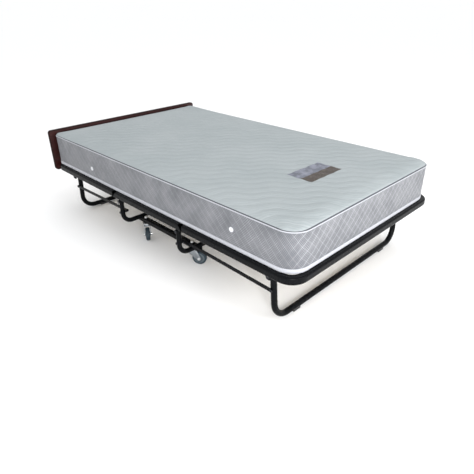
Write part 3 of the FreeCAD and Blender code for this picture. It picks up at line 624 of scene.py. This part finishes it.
def border_satin():
    finish, shader = new_finish(
        "border_satin", (0.25, 0.26, 0.28), 0.36, Sheen_Weight=0.1
    )[:2]
    shader.inputs["Specular IOR Level"].default_value = 0.45
    place = cloth_place(finish)
    z = add_node(finish, "ShaderNodeSeparateXYZ", {0: place}).outputs[2]
    run = border_run(finish)
    drift = maths(finish, "MULTIPLY", noise(finish, place, 22.0, 2.0), 0.010)
    patches = maths(finish, "MULTIPLY", noise(finish, place, 9.0, 4.0), 2.6)
    # Painted glints: the fine threads are brightened in random patches, as where the satin catches
    # the light.
    caught = maths(finish, "ADD", patches, -0.7)
    rising = maths(finish, "ADD", maths(finish, "SUBTRACT", run, z), drift)
    falling = maths(finish, "ADD", maths(finish, "ADD", run, z), drift)
    # Both foot corners are the same way along the border from the middle of the foot end.
    from_middle = maths(finish, "ABSOLUTE", maths(finish, "SUBTRACT", run, FOOT_MIDDLE_RUN))
    end_side = add_node(
        finish, "ShaderNodeMapRange",
        {0: from_middle, 1: CORNER_RUN - 0.02, 2: CORNER_RUN + 0.02, 3: 1.0, 4: 0.0},
    ).outputs[0]
    near_side = maths(finish, "SUBTRACT", 1.0, end_side)
    # Painted sheen: broad threads are drawn brighter across the foot end, and each slant is drawn
    # brighter where the satin would reflect it, one on the long sides and the other across the foot
    # end.
    painted_broad_sheen = maths(finish, "ADD", maths(finish, "MULTIPLY", end_side, 0.45), 0.3)
    lines = None
    for slant, weight in ((rising, end_side), (falling, near_side)):
        broad = thread_line(finish, slant, BROAD_GAP, 5.0)
        fine = thread_line(finish, slant, FINE_GAP, 1.6)
        both = maths(finish, "ADD", maths(finish, "MULTIPLY", broad, painted_broad_sheen),
                     maths(finish, "MULTIPLY", maths(finish, "MULTIPLY", fine, caught), 1.0))
        share = maths(finish, "ADD", maths(finish, "MULTIPLY", weight, 0.55), 0.4)
        part = maths(finish, "MULTIPLY", both, share)
        lines = part if lines is None else maths(finish, "ADD", lines, part)
    # The threads and their painted sheen are toned down a little round the foot corners.
    from_corner = maths(finish, "ABSOLUTE", maths(finish, "SUBTRACT", from_middle, CORNER_RUN))
    calm = add_node(
        finish, "ShaderNodeMapRange", {0: from_corner, 1: 0.02, 2: 0.13, 3: 0.8, 4: 1.0}
    )
    lines = maths(finish, "MULTIPLY", lines, calm.outputs[0])
    tint(finish, shader, lines, (0.093, 0.098, 0.111), (0.312, 0.317, 0.336), 0.0, 1.0)
    vary(finish, shader, lines, 0.42, 0.3)
    ridges = relief(finish, shader, lines, 0.0006)
    relief(finish, shader, stripe(finish, run, 0.0012), 0.00012, ridges)
    return finish


# White ribbed binding for the piping and the tape.
def binding():
    finish, shader = new_finish(
        "white_binding", (0.5, 0.51, 0.55), 0.4, Sheen_Weight=0.15
    )[:2]
    place = cloth_place(finish)
    run = border_run(finish)
    rib = stripe(finish, run, 0.0042)
    tint(finish, shader, rib, (0.33, 0.34, 0.38), (0.52, 0.53, 0.57), 0.1, 0.7)
    ribs = relief(finish, shader, rib, 0.0006)
    relief(finish, shader, noise(finish, place, 300.0), 0.0002, ribs)
    return finish


def mark_cloth(piece):
    """Stores each point's place on the flat cover and its run along the border."""
    points = piece.data.vertices
    corner_x = side_x1 - CORNER_INSET
    spots, runs = [], []
    for vertex in points:
        x = min(vertex.co.x, corner_x)
        spots.extend(vertex.co)
        runs.append((x if vertex.co.y < 0 else 2 * corner_x - x) + vertex.co.y)
    stored = piece.data.attributes.new("cloth_place", "FLOAT_VECTOR", "POINT")
    stored.data.foreach_set("vector", spots)
    stored = piece.data.attributes.new("border_run", "FLOAT", "POINT")
    stored.data.foreach_set("value", runs)


def halved(piece, end):
    """A copy of the piece cut at the stand's middle, keeping the head or the foot side."""
    copy = bpy.data.objects.new(piece.name + "_" + end, piece.data.copy())
    bpy.context.scene.collection.objects.link(copy)
    only(copy)
    bpy.ops.object.mode_set(mode="EDIT")
    slice_mesh((MIDDLE_X, 0, 0), (1, 0, 0), use_fill=True,
               clear_inner=end == "foot", clear_outer=end == "head")
    bpy.ops.object.mode_set(mode="OBJECT")
    mark_cloth(copy)
    return copy


panel_damask, satin, white_binding = damask(), border_satin(), binding()
stands_for = {
    "mattress_cover_head": ["mattress_head"],
    "mattress_cover_foot": ["mattress_foot", "mattress_centre"],
}
mattress_halves = {}
for whole in (cover, piping, tape):
    for end in ENDS:
        half = halved(whole, end)
        if whole is cover:
            half.data.materials.append(panel_damask)
            half.data.materials.append(satin)
            for face in half.data.polygons:
                face.material_index = 1 if low_z + 0.002 < face.center.z < seam_z else 0
            mattress_halves[end] = half
        else:
            half.data.materials.append(white_binding)
        bpy.ops.object.shade_smooth_by_angle(angle=math.radians(50))
        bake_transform(half)
        if half.name in stands_for:
            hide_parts(*stands_for[half.name])
    bpy.data.objects.remove(whole)


# ------------------------------------------------------------------ vents and label
# Two white plastic air vents in each long border, and a sewn woven label near the foot.
def vent_plastic():
    finish, shader, place = new_finish("vent_plastic", (0.84, 0.85, 0.86), 0.35)
    tint(finish, shader, noise(finish, place, 80.0), (0.58, 0.59, 0.62), (0.68, 0.69, 0.72))
    relief(finish, shader, noise(finish, place, 900.0), 0.00008)
    return finish


VENT_R = 0.0115
VENT_PLACES = ((-0.506, 0.371, "head"), (0.633, 0.393, "foot"))
white_vent = vent_plastic()
for x, z, end in VENT_PLACES:
    for side_name, side in (("right", -1), ("left", 1)):
        spot = mattress_halves[end].ray_cast(Vector((x, side, z)), Vector((0, -side, 0)))[1]
        bpy.ops.object.select_all(action="DESELECT")
        bpy.ops.mesh.primitive_cylinder_add(
            vertices=32, radius=VENT_R, depth=0.006, location=(x, spot.y, z),
            rotation=(math.radians(90), 0, 0))
        vent = bpy.context.object
        vent.name = "vent_" + end + "_" + side_name
        bpy.ops.object.transform_apply(location=True, rotation=True, scale=True)
        pick("FACE", lambda face: face.normal.y * side > 0.9)
        bpy.ops.mesh.inset(thickness=0.003)
        bpy.ops.mesh.inset(thickness=0.0012, depth=-0.0012)
        bpy.ops.mesh.inset(thickness=0.0028, depth=0.0)
        bpy.ops.mesh.inset(thickness=0.0015, depth=0.0011)
        bpy.ops.object.mode_set(mode="OBJECT")
        rim = vent.modifiers.new("rim", "BEVEL")
        rim.width = 0.0009
        rim.segments = 2
        rim.limit_method = "ANGLE"
        bpy.ops.object.modifier_apply(modifier="rim")
        bpy.ops.object.shade_smooth_by_angle(angle=math.radians(40))
        vent.data.materials.append(white_vent)
        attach(vent, end + "_deck")


def label_weave():
    finish, shader, place = new_finish("label_weave", (0.25, 0.27, 0.34), 0.5)
    x, y, z = add_node(finish, "ShaderNodeSeparateXYZ", {0: place}).outputs
    soft = noise(finish, place, 26.0, 3.0)
    tint(finish, shader, soft, (0.095, 0.105, 0.135), (0.205, 0.215, 0.27), 0.4, 0.6)
    pale = shader.inputs["Base Color"].links[0].from_socket
    strip = maths(finish, "GREATER_THAN", x, LABEL_STRIP_X)
    flecks = add_node(
        finish, "ShaderNodeMapRange", {0: noise(finish, place, 90.0, 4.0), 1: 0.55, 2: 0.75}
    )
    brown = add_node(finish, "ShaderNodeMix", {0: flecks.outputs[0], 6: (0.034, 0.021, 0.015, 1),
                                               7: (0.13, 0.11, 0.075, 1)}, data_type="RGBA")
    both = add_node(finish, "ShaderNodeMix", {0: strip, 6: pale, 7: brown.outputs[2]},
                    data_type="RGBA")
    finish.node_tree.links.new(both.outputs[2], shader.inputs["Base Color"])
    weave = maths(finish, "ADD", stripe(finish, x, 0.0009), stripe(finish, y, 0.0009))
    relief(finish, shader, weave, 0.00015)
    return finish


LABEL_LOW, LABEL_HIGH = (0.571, -0.127), (0.709, 0.107)
LABEL_STRIP_X = 0.649
label_size = (LABEL_HIGH[0] - LABEL_LOW[0], LABEL_HIGH[1] - LABEL_LOW[1])
bpy.ops.object.select_all(action="DESELECT")
bpy.ops.mesh.primitive_grid_add(
    x_subdivisions=16, y_subdivisions=26, size=1,
    location=((LABEL_LOW[0] + LABEL_HIGH[0]) / 2, (LABEL_LOW[1] + LABEL_HIGH[1]) / 2, Z_TOP + 0.05),
)
label = bpy.context.object
label.name = "sewn_label"
label.scale = (*label_size, 1)
bpy.ops.object.transform_apply(location=True, rotation=True, scale=True)
lay = label.modifiers.new("lay", "SHRINKWRAP")
lay.target = mattress_halves["foot"]
lay.wrap_method = "PROJECT"
lay.use_project_z = True
lay.use_negative_direction = True
lay.use_positive_direction = False
lay.offset = 0.0009
bpy.ops.object.modifier_apply(modifier="lay")
backing = label.modifiers.new("backing", "SOLIDIFY")
backing.thickness = 0.0008
bpy.ops.object.modifier_apply(modifier="backing")
bpy.ops.object.shade_smooth_by_angle(angle=math.radians(50))
label.data.materials.append(label_weave())
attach(label, "foot_deck")
